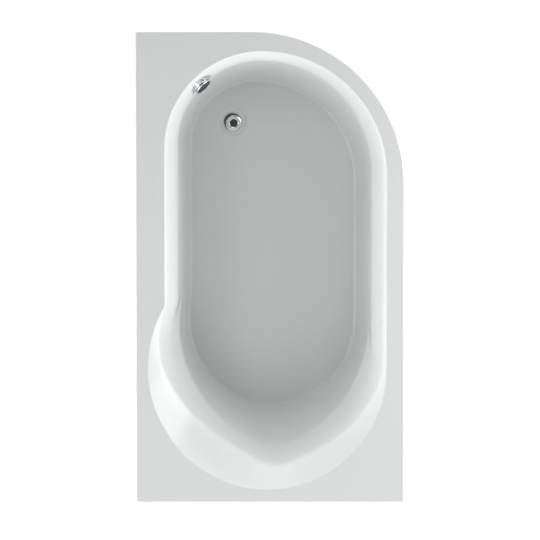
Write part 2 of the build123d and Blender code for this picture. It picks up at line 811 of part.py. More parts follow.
def overflow_knob():
    """Dial whose hub bears on the web of the base; an open groove parts its rim from the base."""
    hub_low, low = web_front() + knob_gap, plate_height + knob_groove
    high = low + knob_height
    return turned((0, hub_low), (hub_radius, hub_low), (hub_radius, low), (knob_radius - 1, low),
                  (knob_radius, low + 1), (knob_radius, high - 1.5), (knob_radius - 1.5, high),
                  (knob_radius - 5, high), (knob_radius - 8, high - 1.4), (0, high - 2))


def spindle_end():
    return -(spider_drop + spider_thick + drum_thick + 1)


def overflow_body():
    flange_high = -shell_wall - gasket
    body = disc(overflow_pocket_radius - 0.5, flange_high - cup_flange, flange_high)
    body += disc(cup_radius, -cup_back, flange_high - cup_flange)
    spigot = disc(pipe_radius + socket_wall, -(cup_radius + spigot_drop), 0)
    upright = Pos(*cup_centre) * Rot(0, 0, degrees(pipe_bearing))
    gland = Pos(0, cable_offset, 0) * disc(gland_radius, -(cup_radius + gland_drop), 0)
    cavity = disc(cup_radius - cup_wall, -cup_back + cup_wall, flange_high)
    socket = disc(pipe_radius + socket_slack, -(cup_radius + spigot_drop), pipe_top() - cup_centre.Z)
    cable_hole = disc(cable_radius + 0.1, -(cup_radius + gland_drop), cable_top() - cup_centre.Z)
    cable_hole = Pos(0, cable_offset, 0) * cable_hole
    shape = overflow * body + upright * (spigot + gland)
    shape -= overflow * cavity
    shape -= upright * disc(pipe_radius - socket_wall, -(cup_radius + spigot_drop), 0)
    shape -= upright * socket
    shape -= upright * cable_hole
    return shape + overflow * spider()


def spider():
    """Bar across the cup that bears the spindle and takes the two fixing screws."""
    low, high = -spider_drop - spider_thick, -spider_drop
    reach = cup_radius - cup_wall / 2
    bar = block((-reach, -hub_radius, low), (reach, hub_radius, high))
    bar &= disc(reach, low, high)
    for side in (-1, 1):
        bar -= Pos(side * fixing_offset, 0, 0) * disc(fixing_radius + 0.1, low, high)
    return bar - disc(spindle_radius + stud_slack, low, high)


def pipe_top():
    """Height at which the overflow pipe bottoms in the overflow body."""
    return cup_centre.Z - cup_radius - 6


def cable_top():
    """Height at which the cable sheath stops in the overflow body."""
    return cup_centre.Z - cup_radius - 2


def bent_run(side, start, top, drop, bend):
    """Path that leaves the waste body level and turns up beside the overflow pipe's plane."""
    low = -drop
    points = [(start, side, low), (pipe_distance, side, low), (pipe_distance, side, top - waste_z)]
    return FilletPolyline(*points, radius=bend)


def tube_along(path, radius, direction):
    """Round bar swept along a path in the waste's own plane."""
    begin = path @ 0
    profile = Plane(origin=begin, z_dir=direction) * Circle(radius)
    return sweep(profile, path=Wire(path.edges()))


def pipe_and_cable():
    run = bent_run(0, pipe_start(), pipe_top(), pipe_inlet_drop, pipe_bend)
    pipe = tube_along(run, pipe_radius, (1, 0, 0)) - tube_along(run, pipe_radius - pipe_wall, (1, 0, 0))
    save("overflow_pipe", pipe_plan * pipe)
    lead = bent_run(cable_offset, cable_end(), cable_top(), pipe_inlet_drop, cable_bend)
    cable = tube_along(lead, cable_radius, (1, 0, 0))
    save("lift_cable", pipe_plan * cable)
    length = sum(edge.length for edge in lead.edges())
    print("lift cable bend radius", cable_bend, "length", round(length, 1),
          "volume over section times length", round(cable.volume / (pi * cable_radius ** 2 * length), 4))
    clips = []
    low, high = -clip_height / 2, clip_height / 2
    for z in (clip_first_rise, cup_rise - clip_last_drop):
        grip = ring(pipe_radius + 2, pipe_radius + 0.1, low, high)
        grip += Pos(0, cable_offset, 0) * disc(cable_radius + 2, low, high)
        grip += block((-1.5, pipe_radius + 1, low), (1.5, cable_offset - cable_radius - 0.5, high))
        grip -= disc(pipe_radius + 0.1, low, high)
        grip -= Pos(0, cable_offset, 0) * disc(cable_radius + 0.1, low, high)
        clips.append(pipe_plan * Pos(pipe_distance, 0, z) * grip)
    save("cable_clips", Compound(children=clips))


def overflow_fitting():
    flange_high = -shell_wall - gasket
    save("overflow_gasket", overflow * ring(overflow_pocket_radius - 0.5, overflow_hole_radius + 0.5,
                                            flange_high, -shell_wall))
    save("overflow_body", overflow_body())
    save("overflow_plate", overflow * overflow_plate())
    save("overflow_knob", overflow * overflow_knob())
    end = spindle_end()
    save("knob_spindle", overflow * disc(spindle_radius, end, web_front() + knob_gap))
    drum_high = -spider_drop - spider_thick - 0.5
    drum = ring(drum_radius, spindle_radius + 0.02, drum_high - drum_thick, drum_high)
    groove = ring(drum_radius + 1, drum_radius - 2, drum_high - drum_thick / 2 - 1.5, drum_high - drum_thick / 2 + 1.5)
    save("cable_drum", overflow * (drum - groove))
    screws = []
    for side in (-1, 1):
        head_low = web_front() - 2.4
        screw = disc(2 * fixing_radius, head_low, web_front() - 0.2)
        screw += disc(fixing_radius, -spider_drop - spider_thick + 1, head_low)
        screws.append(overflow * Pos(side * fixing_offset, 0, 0) * screw)
    save("overflow_screws", Compound(children=screws))


save("tub_shell", tub_shell())
rim_battens()
save("base_board", base_board())
cradle()
wall_brackets()
waste_fitting()
trap()
overflow_fitting()
pipe_and_cable()
print("waste seat height", round(waste_z, 2), "overflow seat", overflow_plane.origin,
      "overflow inward", overflow_plane.z_dir)
print("cup centre", cup_centre, "pipe bearing", round(degrees(pipe_bearing), 3), "distance", round(pipe_distance, 2))
print("rocker rest angle", round(rocker_rest(), 3), "rail tops", rail_top(head_rail_y), rail_top(foot_rail_y),
      "bracket top", bracket_top())
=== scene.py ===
import json
from math import atan2, ceil, cos, degrees, hypot, pi, radians, sin, sqrt, tan

import bmesh
import bpy
from mathutils import Matrix, Vector

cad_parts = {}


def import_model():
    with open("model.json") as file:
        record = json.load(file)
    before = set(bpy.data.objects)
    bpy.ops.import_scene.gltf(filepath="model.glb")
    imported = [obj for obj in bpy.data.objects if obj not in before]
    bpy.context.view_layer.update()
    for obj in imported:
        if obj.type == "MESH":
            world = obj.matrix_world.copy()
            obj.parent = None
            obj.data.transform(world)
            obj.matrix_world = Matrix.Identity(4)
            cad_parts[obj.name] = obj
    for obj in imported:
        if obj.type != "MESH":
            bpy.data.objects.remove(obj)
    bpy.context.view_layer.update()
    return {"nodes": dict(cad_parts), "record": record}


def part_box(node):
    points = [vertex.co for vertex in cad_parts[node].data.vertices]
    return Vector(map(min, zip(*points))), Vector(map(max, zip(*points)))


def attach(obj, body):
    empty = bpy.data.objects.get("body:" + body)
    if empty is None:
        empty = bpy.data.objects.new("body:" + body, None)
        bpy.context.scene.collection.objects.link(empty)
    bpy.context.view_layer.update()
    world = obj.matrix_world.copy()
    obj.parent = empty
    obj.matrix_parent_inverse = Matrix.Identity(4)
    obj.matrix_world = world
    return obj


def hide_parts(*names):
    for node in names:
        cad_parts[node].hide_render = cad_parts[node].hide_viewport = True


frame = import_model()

# Sizes are in millimetres, as in the part's source, and turned to metres when a mesh is made.
MM = 0.001
NODES = frame["nodes"]

# Bath. Left is the wall side, right the open side, foot the drain end and head the backrest end.
BATH_LENGTH, BATH_WIDTH, RIM = 1700.0, 970.0, 590.0
OPEN_CORNER, TIGHT_CORNER = 550.0, 9.0
LIP_DROP, LIP_ROUND, WALL = 40.0, 6.0, 7.0
DECK_LEFT, DECK_RIGHT, DECK_FOOT, DECK_HEAD = 105.5, 63.4, 72.0, 49.0
OPENING_ROUND = 8.0
DEPTH = 428.0
FLARE_LEFT, FLARE_RIGHT, FLARE_FOOT, FLARE_HEAD = 38.0, 42.0, 22.0, 68.0
FLARE_DEPTH_SIDE, FLARE_DEPTH_FOOT, FLARE_DEPTH_HEAD = 95.0, 65.0, 190.0
FLARE_POWER, SCOOP_POWER = 2.2, 1.4
DRAFT_LEFT, DRAFT_RIGHT, DRAFT_FOOT, DRAFT_HEAD = 34.5, 51.0, 52.0, 195.0
APEX_X_RIM, APEX_X_FLOOR = -29.0, -56.0
SCOOP_REACH_RIM, SCOOP_REACH_FLOOR, SCOOP_DEPTH = 61.5, 6.0, 170.0
# The arched head end: by how much its sides' radius is over, and its nose's under, half the width,
# at the rim, at the depth of the backrest's shoulder and at the floor
SHOULDER = 150.0
SIDE_OVER = (9.0, 129.5, 14.0)
NOSE_UNDER = (16.0, 248.5, 21.0)
FLOOR_ROUND = 10.0
CREASE_ROUND = 12.0

# Points on each stretch of the basin's outline, in order round it
CREASE_STEPS, STRAIGHT_STEPS, DRAIN_CORNER_STEPS, OPEN_CORNER_STEPS = 6, 30, 180, 52
OPEN_SIDE_STEPS, NOSE_STEPS, SCOOP_STEPS = 44, 48, 56
# Steps of the rim's corners
TIGHT_RIM_STEPS, WIDE_RIM_STEPS = 8, 72

# Waste and overflow
WASTE_X, WASTE_Y, WASTE_RECESS = -143.0, 544.0, 3.5
FALL = atan2(4.0, WASTE_Y)
WASTE_HOLE, DISH = 26.0, 49.0
OVERFLOW_DEPTH, OVERFLOW_BEARING = 52.0, radians(134)
OVERFLOW_TILT, OVERFLOW_RECESS = radians(12), 10.0
OVERFLOW_SEAT, SEAT_SOFT = 35.0, 4.0
# Only points nearer than this to the seat's plane can belong to it
SEAT_NEAR = 40.0


def floor_z(y):
    return RIM - DEPTH - y * tan(FALL)


WASTE_Z = floor_z(WASTE_Y) - WASTE_RECESS


# Basin plan at any depth, by the same rules as the part's source

def inset(depth, flare, flare_depth, draft):
    """How far a wall stands in from the rim's opening: a roll near the rim and a steady lean."""
    rest = max(0.0, 1 - depth / flare_depth)
    return flare * (1 - rest ** FLARE_POWER) + draft * depth / DEPTH


def by_depth(depth, values):
    """A size given at the rim, at the backrest's shoulder and at the floor, for any depth."""
    rim, shoulder, floor = values
    if depth < SHOULDER:
        return rim + (shoulder - rim) * depth / SHOULDER
    return shoulder + (floor - shoulder) * (depth - SHOULDER) / (DEPTH - SHOULDER)


def wall_lines(depth, grow=0.0):
    """Where the four walls stand at a depth; grow moves them outwards."""
    left = -BATH_WIDTH / 2 + DECK_LEFT + inset(depth, FLARE_LEFT, FLARE_DEPTH_SIDE, DRAFT_LEFT)
    right = BATH_WIDTH / 2 - DECK_RIGHT - inset(depth, FLARE_RIGHT, FLARE_DEPTH_SIDE, DRAFT_RIGHT)
    foot = BATH_LENGTH / 2 - DECK_FOOT - inset(depth, FLARE_FOOT, FLARE_DEPTH_FOOT, DRAFT_FOOT)
    head = -BATH_LENGTH / 2 + DECK_HEAD + inset(depth, FLARE_HEAD, FLARE_DEPTH_HEAD, DRAFT_HEAD)
    return left - grow, right + grow, foot + grow, head - grow


def foot_apex(depth):
    """Where across the bath its two drain corners meet."""
    return APEX_X_RIM + (APEX_X_FLOOR - APEX_X_RIM) * depth / DEPTH


def arc_points(centre, radius, start, end, count):
    """Points clockwise from start towards end, the end left out."""
    first = atan2(start[1] - centre[1], start[0] - centre[0])
    last = atan2(end[1] - centre[1], end[0] - centre[0])
    if last > first:
        last -= 2 * pi
    turns = [first + (last - first) * i / count for i in range(count)]
    return [(centre[0] + radius * cos(t), centre[1] + radius * sin(t)) for t in turns]


def outline(depth, grow=0.0):
    """Closed plan of the basin with its crease rounded; every depth has the same number of points."""
    left, right, foot, head = wall_lines(depth, grow)
    apex = foot_apex(depth)
    fade = max(0.0, 1 - depth / SCOOP_DEPTH) ** SCOOP_POWER
    scoop = left - SCOOP_REACH_FLOOR - (SCOOP_REACH_RIM - SCOOP_REACH_FLOOR) * fade
    half = (right - scoop) / 2 - grow
    over, under = by_depth(depth, SIDE_OVER), by_depth(depth, NOSE_UNDER)
    side_r, nose_r = half + over + grow, half - under + grow
    nose = ((right + scoop) / 2, head + nose_r)
    spring = nose[1] + sqrt((over + under) ** 2 - over ** 2)
    right_c, left_c = (right - side_r, spring), (scoop + side_r, spring)

    def on_nose(side):
        reach = hypot(nose[0] - side[0], nose[1] - side[1])
        return tuple(nose[i] + nose_r * (nose[i] - side[i]) / reach for i in (0, 1))

    crease = (left, spring + sqrt(side_r ** 2 - (left_c[0] - left) ** 2))
    turn = atan2(crease[1] - left_c[1], crease[0] - left_c[0]) + CREASE_ROUND / side_r
    before = (left_c[0] + side_r * cos(turn), left_c[1] + side_r * sin(turn))
    after = (left, crease[1] + CREASE_ROUND)
    wall_end, top, open_end = (left, foot - (apex - left)), (apex, foot), (right, foot - (right - apex))
    points = []
    for i in range(CREASE_STEPS):
        t = i / CREASE_STEPS
        weights = ((1 - t) ** 2, 2 * t * (1 - t), t * t)
        points.append(tuple(weights[0] * before[k] + weights[1] * crease[k] + weights[2] * after[k]
                            for k in (0, 1)))
    points += [(left, after[1] + (wall_end[1] - after[1]) * i / STRAIGHT_STEPS) for i in range(STRAIGHT_STEPS)]
    points += arc_points((apex, wall_end[1]), apex - left, wall_end, top, DRAIN_CORNER_STEPS)
    points += arc_points((apex, open_end[1]), right - apex, top, open_end, OPEN_CORNER_STEPS)
    points += [(right, open_end[1] + (spring - open_end[1]) * i / STRAIGHT_STEPS) for i in range(STRAIGHT_STEPS)]
    points += arc_points(right_c, side_r, (right, spring), on_nose(right_c), OPEN_SIDE_STEPS)
    points += arc_points(nose, nose_r, on_nose(right_c), on_nose(left_c), NOSE_STEPS)
    points += arc_points(left_c, side_r, on_nose(left_c), before, SCOOP_STEPS)
    return points


def basin_ring(depth, grow=0.0, drop=0.0):
    """One ring of the basin in space; the rings tip gradually to the floor's fall."""
    tip = FALL * depth / DEPTH
    return [(x, y * cos(tip), RIM - depth - drop - y * sin(tip)) for x, y in outline(depth, grow)]


def rim_ring(shrink, z):
    """One ring round the rim's outer edge, moved in by shrink."""
    x, y = BATH_WIDTH / 2 - shrink, BATH_LENGTH / 2 - shrink
    tight, wide = max(1.0, TIGHT_CORNER - shrink), OPEN_CORNER - shrink
    corners = [(-x, y, tight, -1, 1, TIGHT_RIM_STEPS), (x, y, wide, 1, 1, WIDE_RIM_STEPS),
               (x, -y, tight, 1, -1, TIGHT_RIM_STEPS), (-x, -y, tight, -1, -1, TIGHT_RIM_STEPS)]
    points = []
    for index, (cx, cy, radius, sx, sy, count) in enumerate(corners):
        centre = (cx - sx * radius, cy - sy * radius)
        first = pi - index * pi / 2
        for i in range(count + 1):
            turn = first - pi / 2 * i / count
            points.append((centre[0] + radius * cos(turn), centre[1] + radius * sin(turn), z))
    return points


# Mesh helpers

def link(name, mesh, body, *stands_for, slot=None, sharp=35):
    """Makes the piece, smooth but for edges over the sharp angle, and sets it on its body."""
    mesh.shade_smooth()
    mesh.set_sharp_from_angle(angle=radians(sharp))
    obj = bpy.data.objects.new(name, mesh)
    bpy.context.scene.collection.objects.link(obj)
    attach(obj, body)
    if stands_for:
        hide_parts(*stands_for)
    return obj


def mesh_from(name, points, faces):
    """Mesh from points in millimetres, with its faces turned outwards."""
    mesh = bpy.data.meshes.new(name)
    mesh.from_pydata([Vector(p) * MM for p in points], [], faces)
    work = bmesh.new()
    work.from_mesh(mesh)
    bmesh.ops.recalc_face_normals(work, faces=work.faces)
    work.to_mesh(mesh)
    work.free()
    return mesh


class Skin:
    """Rings of points joined by quads into one mesh."""

    def __init__(self):
        self.work = bmesh.new()

    def ring(self, points):
        return [self.work.verts.new(Vector(p) * MM) for p in points]

    def join(self, first, second, material=0):
        count = len(first)
        for i in range(count):
            face = self.work.faces.new([first[i], first[(i + 1) % count], second[(i + 1) % count], second[i]])
            face.material_index = material

    def joined(self, rings, material=0):
        made = [self.ring(points) for points in rings]
        for first, second in zip(made, made[1:]):
            self.join(first, second, material)
        return made

    def fill(self, loops, material=0, up=True):
        """Flat face between an outer loop and the loops inside it."""
        edges = []
        for loop in loops:
            for i in range(len(loop)):
                pair = (loop[i], loop[(i + 1) % len(loop)])
                edges.append(self.work.edges.get(pair) or self.work.edges.new(pair))
        made = bmesh.ops.triangle_fill(self.work, edges=edges, use_beauty=True, use_dissolve=False)
        for face in made["geom"]:
            if isinstance(face, bmesh.types.BMFace):
                face.material_index = material
                face.normal_update()
                if (face.normal.z > 0) != up:
                    face.normal_flip()

    def finish(self, name):
        mesh = bpy.data.meshes.new(name)
        self.work.to_mesh(mesh)
        self.work.free()
        return mesh


# A rounding takes less than half of the shorter side beside it, in steps of this many degrees at most
ROUNDING_SHARE, ROUNDING_STEP = 0.48, 18
ON_AXIS = 1e-6


def rounded(corners):
    """Profile with its corners rounded. Each corner is a radius, a height and, if given, a rounding."""
    points = []
    count = len(corners)
    for i, corner in enumerate(corners):
        here = Vector(corner[:2])
        size = corner[2] if len(corner) > 2 else 0
        if not size:
            points.append(tuple(here))
            continue
        back = Vector(corners[i - 1][:2]) - here
        ahead = Vector(corners[(i + 1) % count][:2]) - here
        half = back.angle(ahead) / 2
        reach = min(size / tan(half), ROUNDING_SHARE * back.length, ROUNDING_SHARE * ahead.length)
        start, end = here + back.normalized() * reach, here + ahead.normalized() * reach
        steps = max(2, ceil(degrees(pi - 2 * half) / ROUNDING_STEP))
        for k in range(steps + 1):
            t = k / steps
            points.append(tuple((1 - t) ** 2 * start + 2 * t * (1 - t) * here + t * t * end))
    return points


def lathe(name, corners, columns=96, place=None):
    """Turned piece about Z; the profile runs from axis to axis, or round a closed ring."""
    profile = rounded(corners)
    work = bmesh.new()
    closed = profile[0][0] > 0 or profile[-1][0] > 0
    rows = []
    for radius, height in profile:
        if radius < ON_AXIS:
            rows.append([work.verts.new((0, 0, height * MM))])
        else:
            rows.append([work.verts.new((radius * MM * cos(2 * pi * i / columns),
                                         radius * MM * sin(2 * pi * i / columns), height * MM))
                         for i in range(columns)])
    pairs = list(zip(rows, rows[1:])) + ([(rows[-1], rows[0])] if closed else [])
    for first, second in pairs:
        for i in range(columns):
            j = (i + 1) % columns
            corners_used = [first[i % len(first)], first[j % len(first)],
                            second[j % len(second)], second[i % len(second)]]
            unique = list(dict.fromkeys(corners_used))
            if len(unique) > 2:
                work.faces.new(unique)
    bmesh.ops.recalc_face_normals(work, faces=work.faces)
    mesh = bpy.data.meshes.new(name)
    work.to_mesh(mesh)
    work.free()
    if place is not None:
        mesh.transform(place)
    return mesh


def joined_meshes(name, meshes):
    work = bmesh.new()
    for mesh in meshes:
        work.from_mesh(mesh)
    mesh = bpy.data.meshes.new(name)
    work.to_mesh(mesh)
    work.free()
    return mesh


def box_mesh(name, low, high, place, bevel):
    """Block between two corners with its edges softened."""
    work = bmesh.new()
    bmesh.ops.create_cube(work, size=1)
    for vert in work.verts:
        for k in range(3):
            vert.co[k] = (low[k] + high[k]) / 2 * MM + vert.co[k] * (high[k] - low[k]) * MM
    bmesh.ops.bevel(work, geom=work.edges, offset=bevel * MM, segments=2, affect="EDGES", profile=0.5)
    mesh = bpy.data.meshes.new(name)
    work.to_mesh(mesh)
    work.free()
    mesh.transform(place)
    return mesh


# Materials

METAL, PLASTIC = 1.0, 0.0


class Look:
    """A Principled material with helpers for its procedural textures."""

    def __init__(self, name, colour, rough, metal=PLASTIC, ior=1.45):
        self.mat = bpy.data.materials.new(name)
        self.mat.use_nodes = True
        self.tree = self.mat.node_tree
        self.bsdf = self.tree.nodes["Principled BSDF"]
        self.bsdf.inputs["Base Color"].default_value = (*colour, 1)
        self.bsdf.inputs["Roughness"].default_value = rough
        self.bsdf.inputs["Metallic"].default_value = metal
        self.bsdf.inputs["IOR"].default_value = ior
        self.coords = self.tree.nodes.new("ShaderNodeTexCoord").outputs["Object"]

    def node(self, kind, **values):
        made = self.tree.nodes.new(kind)
        for key, value in values.items():
            if key in made.inputs:
                made.inputs[key].default_value = value
            else:
                setattr(made, key, value)
        return made

    def link(self, source, target):
        self.tree.links.new(source, target)

    def scaled(self, scale):
        mapping = self.node("ShaderNodeMapping", Scale=scale)
        self.link(self.coords, mapping.inputs["Vector"])
        return mapping.outputs["Vector"]

    def noise(self, scale, detail=4.0, stretch=(1, 1, 1), distortion=0.0):
        made = self.node("ShaderNodeTexNoise", Scale=scale, Detail=detail, Distortion=distortion)
        self.link(self.scaled(stretch), made.inputs["Vector"])
        return made.outputs["Fac"]

    def cells(self, scale, feature="F1", output="Distance", stretch=(1, 1, 1)):
        made = self.node("ShaderNodeTexVoronoi", Scale=scale, feature=feature)
        self.link(self.scaled(stretch), made.inputs["Vector"])
        return made.outputs[output]

    def ramp(self, source, *stops):
        made = self.node("ShaderNodeValToRGB")
        elements = made.color_ramp.elements
        while len(elements) < len(stops):
            elements.new(0.5)
        for element, (position, colour) in zip(elements, stops):
            element.position = position
            element.color = (*colour, 1)
        self.link(source, made.inputs["Fac"])
        return made.outputs["Color"]

    def colour(self, source):
        self.link(source, self.bsdf.inputs["Base Color"])
        return self

    def rough(self, source, low, high):
        span = self.node("ShaderNodeMapRange")
        span.inputs["To Min"].default_value = low
        span.inputs["To Max"].default_value = high
        self.link(source, span.inputs["Value"])
        self.link(span.outputs["Result"], self.bsdf.inputs["Roughness"])
        return self

    def bump(self, source, strength, distance):
        made = self.node("ShaderNodeBump", Strength=strength, Distance=distance)
        self.link(source, made.inputs["Height"])
        self.link(made.outputs["Normal"], self.bsdf.inputs["Normal"])
        return self


def two_tones(name, first, second, rough, metal, scale, spread, bump=0.0):
    """Plain moulded or metal surface with a faint mottle in colour, roughness and relief."""
    look = Look(name, first, rough, metal)
    mottle = look.noise(scale, 5.0)
    look.colour(look.ramp(mottle, (0.3, first), (0.7, second)))
    look.rough(mottle, rough - spread, rough + spread)
    if bump:
        look.bump(look.noise(scale * 6, 3.0), bump, 0.0004)
    return look


def wood(name, stretch):
    """Planed softwood with rings, grain lines and pores running along the piece."""
    look = Look(name, (0.62, 0.43, 0.24), 0.6)
    rings = look.noise(9.0, 3.0, stretch, 1.4)
    fine = look.noise(70.0, 6.0, stretch)
    tone = look.ramp(rings, (0.32, (0.70, 0.50, 0.29)), (0.46, (0.60, 0.40, 0.20)),
                     (0.52, (0.74, 0.55, 0.33)), (0.66, (0.64, 0.44, 0.24)))
    streak = look.ramp(fine, (0.35, (0.80, 0.74, 0.66)), (0.65, (1, 1, 1)))
    mix = look.node("ShaderNodeMix", data_type="RGBA", blend_type="MULTIPLY")
    factor, first_colour, second_colour, mixed = mix.inputs[0], mix.inputs[6], mix.inputs[7], mix.outputs[2]
    factor.default_value = 0.55
    look.link(tone, first_colour)
    look.link(streak, second_colour)
    look.colour(mixed)
    look.rough(fine, 0.5, 0.75)
    return look.bump(fine, 0.25, 0.0006)


def chipboard():
    """Pressed flakes of several tones."""
    look = Look("chipboard", (0.5, 0.37, 0.22), 0.8)
    flakes = look.cells(190.0, output="Color")
    tone = look.ramp(flakes, (0.15, (0.33, 0.21, 0.11)), (0.4, (0.55, 0.40, 0.23)),
                     (0.62, (0.66, 0.51, 0.32)), (0.9, (0.45, 0.31, 0.17)))
    look.colour(tone)
    look.rough(look.noise(120.0), 0.7, 0.9)
    return look.bump(look.cells(190.0), 0.35, 0.0008)


def laminate():
    """Glass fibre backing sprayed on the acrylic: off-white resin with chopped strands."""
    look = Look("laminate", (0.70, 0.68, 0.62), 0.5)
    strands = look.cells(70.0, "DISTANCE_TO_EDGE", stretch=(1.0, 2.2, 0.8))
    clouds = look.noise(14.0, 5.0)
    tone = look.ramp(clouds, (0.3, (0.65, 0.63, 0.57)), (0.7, (0.735, 0.72, 0.665)))
    look.colour(tone)
    look.rough(clouds, 0.38, 0.6)
    return look.bump(strands, 0.5, 0.0012)


def galvanised():
    """Zinc with its spangle."""
    look = Look("galvanised", (0.5, 0.51, 0.52), 0.4, METAL)
    spangle = look.cells(160.0, output="Color")
    look.colour(look.ramp(spangle, (0.2, (0.42, 0.43, 0.45)), (0.8, (0.66, 0.67, 0.68))))
    look.rough(spangle, 0.28, 0.5)
    return look.bump(look.noise(300.0), 0.08, 0.0003)


def acrylic():
    """Gloss sanitary acrylic: nearly even white with a trace of cloud in tone and polish."""
    white = (0.80, 0.806, 0.81)
    look = Look("acrylic", white, 0.12, PLASTIC, 1.49)
    clouds = look.noise(3.0, 3.0)
    shade = tuple(c * 0.992 for c in white)
    look.colour(look.ramp(clouds, (0.35, shade), (0.65, white)))
    look.rough(look.noise(45.0, 4.0), 0.10, 0.16)
    return look.bump(look.noise(420.0, 2.0), 0.02, 0.0002)


looks = {
    "acrylic": acrylic(),
    "laminate": laminate(),
    "timber_x": wood("timber_x", (0.10, 1.6, 1.6)),
    "timber_y": wood("timber_y", (1.6, 0.10, 1.6)),
    "chipboard": chipboard(),
    "galvanised_steel": galvanised(),
}
# Name, both tones, roughness, metal or plastic, scale of the mottle, spread of the roughness, relief
for row in (
        ("zinc_plated", (0.62, 0.61, 0.56), (0.74, 0.73, 0.69), 0.3, METAL, 90.0, 0.08, 0.05),
        ("steel", (0.60, 0.60, 0.60), (0.70, 0.70, 0.70), 0.25, METAL, 120.0, 0.06, 0.04),
        ("chrome", (0.80, 0.81, 0.82), (0.84, 0.85, 0.86), 0.05, METAL, 60.0, 0.015),
        ("brass", (0.70, 0.50, 0.22), (0.78, 0.60, 0.30), 0.28, METAL, 90.0, 0.06, 0.04),
        ("rubber_black", (0.018, 0.018, 0.018), (0.035, 0.035, 0.035), 0.7, PLASTIC, 110.0, 0.08, 0.2),
        ("black_plastic", (0.022, 0.022, 0.024), (0.04, 0.04, 0.042), 0.42, PLASTIC, 80.0, 0.08, 0.1),
        ("grey_plastic", (0.33, 0.34, 0.35), (0.38, 0.39, 0.40), 0.42, PLASTIC, 80.0, 0.08, 0.1),
        ("white_plastic", (0.76, 0.76, 0.75), (0.82, 0.82, 0.81), 0.36, PLASTIC, 60.0, 0.07, 0.08),
        ("foot_plastic", (0.03, 0.03, 0.03), (0.05, 0.05, 0.05), 0.5, PLASTIC, 90.0, 0.08, 0.12)):
    looks[row[0]] = two_tones(*row)


def paint(obj, *names):
    """Gives the piece its materials, and keeps which face uses which."""
    slots = [face.material_index for face in obj.data.polygons]
    obj.data.materials.clear()
    for name in names:
        obj.data.materials.append(looks[name].mat)
    if len(names) > 1:
        for face, slot in zip(obj.data.polygons, slots):
            face.material_index = slot
    return obj


# Shell: one closed skin, gloss face inside and over the rim, glass fibre laminate behind

TURN_STEPS = [10 * k for k in range(10)]  # degrees of a rounded edge's quarter turn


def overflow_frame():
    """Frame of the overflow's seat: z points into the basin, x across and y down."""
    left, _, foot, _ = wall_lines(OVERFLOW_DEPTH)
    apex = foot_apex(OVERFLOW_DEPTH)
    radius = apex - left
    reach = radius + OVERFLOW_RECESS
    origin = Vector((apex + reach * cos(OVERFLOW_BEARING), foot - radius + reach * sin(OVERFLOW_BEARING),
                     RIM - OVERFLOW_DEPTH))
    across = Vector((-sin(OVERFLOW_BEARING), cos(OVERFLOW_BEARING), 0))
    inward = Vector((-cos(OVERFLOW_BEARING) * cos(OVERFLOW_TILT), -sin(OVERFLOW_BEARING) * cos(OVERFLOW_TILT),
                     sin(OVERFLOW_TILT)))
    down = inward.cross(across)
    matrix = Matrix((across, down, inward)).transposed().to_4x4()
    matrix.translation = origin
    return matrix


OVERFLOW = overflow_frame()
OVERFLOW_PLACE = Matrix.Translation(OVERFLOW.translation * MM) @ OVERFLOW.to_3x3().to_4x4()
WASTE_PLACE = Matrix.Translation(Vector((WASTE_X, WASTE_Y, WASTE_Z)) * MM)


def smooth(t):
    return t * t * (3 - 2 * t)


def soft_low(first, second):
    """The lower of two levels, rounded where they cross."""
    share = min(1.0, max(0.0, 0.5 + 0.5 * (second - first) / SEAT_SOFT))
    return first * share + second * (1 - share) - SEAT_SOFT * share * (1 - share)


def pressed_seat(points, wall=0.0):
    """Presses the overflow's flat seat into the wall, with a flare at 45 degrees round it."""
    back = OVERFLOW.inverted()
    inward = OVERFLOW.to_3x3() @ Vector((0, 0, 1))
    moved = []
    for point in points:
        place = back @ Vector(point)
        if abs(place.z) < SEAT_NEAR:
            flare = hypot(place.x, place.y) - OVERFLOW_SEAT - wall * sqrt(2)
            level = soft_low(place.z, -soft_low(-flare, wall))
            point = tuple(Vector(point) + inward * (level - place.z))
        moved.append(point)
    return moved


def face_rings():
    """Basin side of the shell, from the flat of the deck down to the flat of the floor."""
    edge, flat, steps = OPENING_ROUND * tan(pi / 8), 1.5, 7
    low_edge = 0.29 * OPENING_ROUND  # what a roll through 45 degrees drops
    rings = [basin_ring(0, edge + flat), basin_ring(0, edge + 0.3)]
    for step in range(steps + 1):
        t = step / steps
        rings.append(basin_ring(low_edge * t * t, edge * (1 - t) ** 2))
    depths = [3.6, 5.5, 8, 11] + list(range(14, 114, 3)) + list(range(116, 166, 5))
    depths += [172, 180, 190, 202, 216, 232, 250, 270, 292, 316, 340, 364, 388, 404, 412]
    rings += [basin_ring(depth) for depth in depths]
    for degree in TURN_STEPS:
        turn = radians(degree)
        rings.append(basin_ring(DEPTH - FLOOR_ROUND * (1 - sin(turn)), -FLOOR_ROUND * (1 - cos(turn))))
    rings.append(basin_ring(DEPTH, -FLOOR_ROUND - flat))
    return [pressed_seat(ring) for ring in rings]


def back_rings():
    """Outside of the basin, from under the deck down to the flat under the floor."""
    rings = []
    slope_at_rim, slope_eased = 45, 35
    depths = [2.1, 5, 9, 14, 20, 28, 38] + list(range(48, 168, 6))
    depths += [180, 200, 225, 255, 290, 325, 360, 390, 410, DEPTH - FLOOR_ROUND]
    for depth in depths:
        slope = radians(slope_at_rim - slope_eased * min(1, depth / SHOULDER))
        rings.append(basin_ring(depth, WALL * cos(slope), WALL * sin(slope)))
    for degree in TURN_STEPS[1:]:
        turn = radians(degree)
        rings.append(basin_ring(DEPTH - FLOOR_ROUND * (1 - sin(turn)),
                                WALL * cos(turn) - FLOOR_ROUND * (1 - cos(turn)), WALL * sin(turn)))
    rings.append(basin_ring(DEPTH, -FLOOR_ROUND - 2, WALL))
    return [pressed_seat(ring, WALL) for ring in rings]


